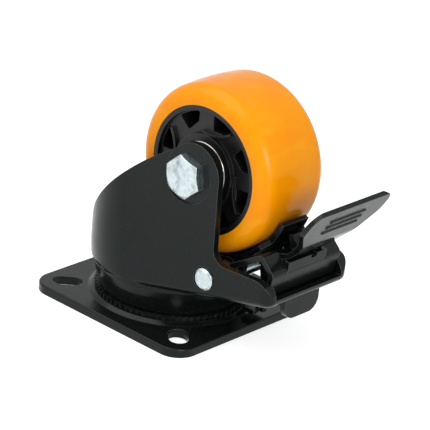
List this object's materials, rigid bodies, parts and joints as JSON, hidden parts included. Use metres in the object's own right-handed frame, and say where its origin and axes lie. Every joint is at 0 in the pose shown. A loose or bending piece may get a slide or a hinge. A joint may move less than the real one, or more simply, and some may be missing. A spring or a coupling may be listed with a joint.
{
  "type": "swivel castor",
  "caption": "Plate-mounted swivel castor with a sheet steel fork, a rubber-tyred wheel and a pedal that stops the wheel and locks the swivel.",
  "frame": {"origin": "centre of the plate's mounting face", "axes": "+Z from the mounting face towards the wheel, +X the way the wheel trails, Y along the axle"},
  "size_m": [0.1419, 0.087, 0.1132],
  "materials": {
    "black_steel": "glossy black electro-coat",
    "zinc_steel": "bright zinc plate",
    "hard_steel": "hardened, ground",
    "orange_tread": "glossy cast polyurethane",
    "white_nylon": "natural nylon",
    "black_core": "moulded, semi-gloss"
  },
  "bodies": {
    "base": {"mounting_plate": "black_steel", "king_pin": "zinc_steel", "upper_race": "hard_steel", "lock_ring": "zinc_steel", "main_balls": "hard_steel", "top_balls": "hard_steel"},
    "swivel": {"fork": "black_steel", "axle_bolt": "zinc_steel", "axle_washer": "zinc_steel", "axle_nut": "zinc_steel", "nut_insert": "white_nylon", "axle_sleeve": "zinc_steel", "dust_covers": "black_steel", "bearing_inner_rings": "hard_steel", "cross_rivet": "zinc_steel", "rivet_spacers": "zinc_steel", "brake_bracket": "black_steel", "bracket_rivets": "zinc_steel", "pedal_pin": "zinc_steel"},
    "wheel": {"tread": "orange_tread", "wheel_core": "black_core", "bearing_outer_rings": "hard_steel", "bearing_balls": "hard_steel", "bearing_shields": "zinc_steel"},
    "pedal": {"pedal": "black_steel"},
    "shoe_lever": {"brake_shoe": "black_steel", "shoe_cheeks": "black_steel"},
    "lock_lever": {"swivel_lock": "black_steel"}
  },
  "joints": [
    {"name": "swivel", "type": "hinge", "parent": "base", "child": "swivel", "pos_m": [0, 0, 0], "axis": [0, 0, 1], "continuous": true},
    {"name": "wheel_spin", "type": "hinge", "parent": "swivel", "child": "wheel", "pos_m": [0.0279, 0, 0.0757], "axis": [0, 1, 0], "continuous": true},
    {"name": "pedal_press", "type": "hinge", "parent": "swivel", "child": "pedal", "pos_m": [0.0666, 0, 0.0456], "axis": [0, -1, 0], "range_deg": [0, 12]},
    {"name": "shoe_turn", "type": "hinge", "parent": "swivel", "child": "shoe_lever", "pos_m": [0.0436, 0, 0.0342], "axis": [0, -1, 0], "range_deg": [0, 1.75]},
    {"name": "lock_turn", "type": "hinge", "parent": "swivel", "child": "lock_lever", "pos_m": [0.0436, 0, 0.0342], "axis": [0, 1, 0], "range_deg": [0, 4.2]}
  ],
  "couplings": [
    {"joint": "shoe_turn", "follows": "pedal_press", "ratio": 0.145},
    {"joint": "lock_turn", "follows": "pedal_press", "ratio": 0.35}
  ]
}
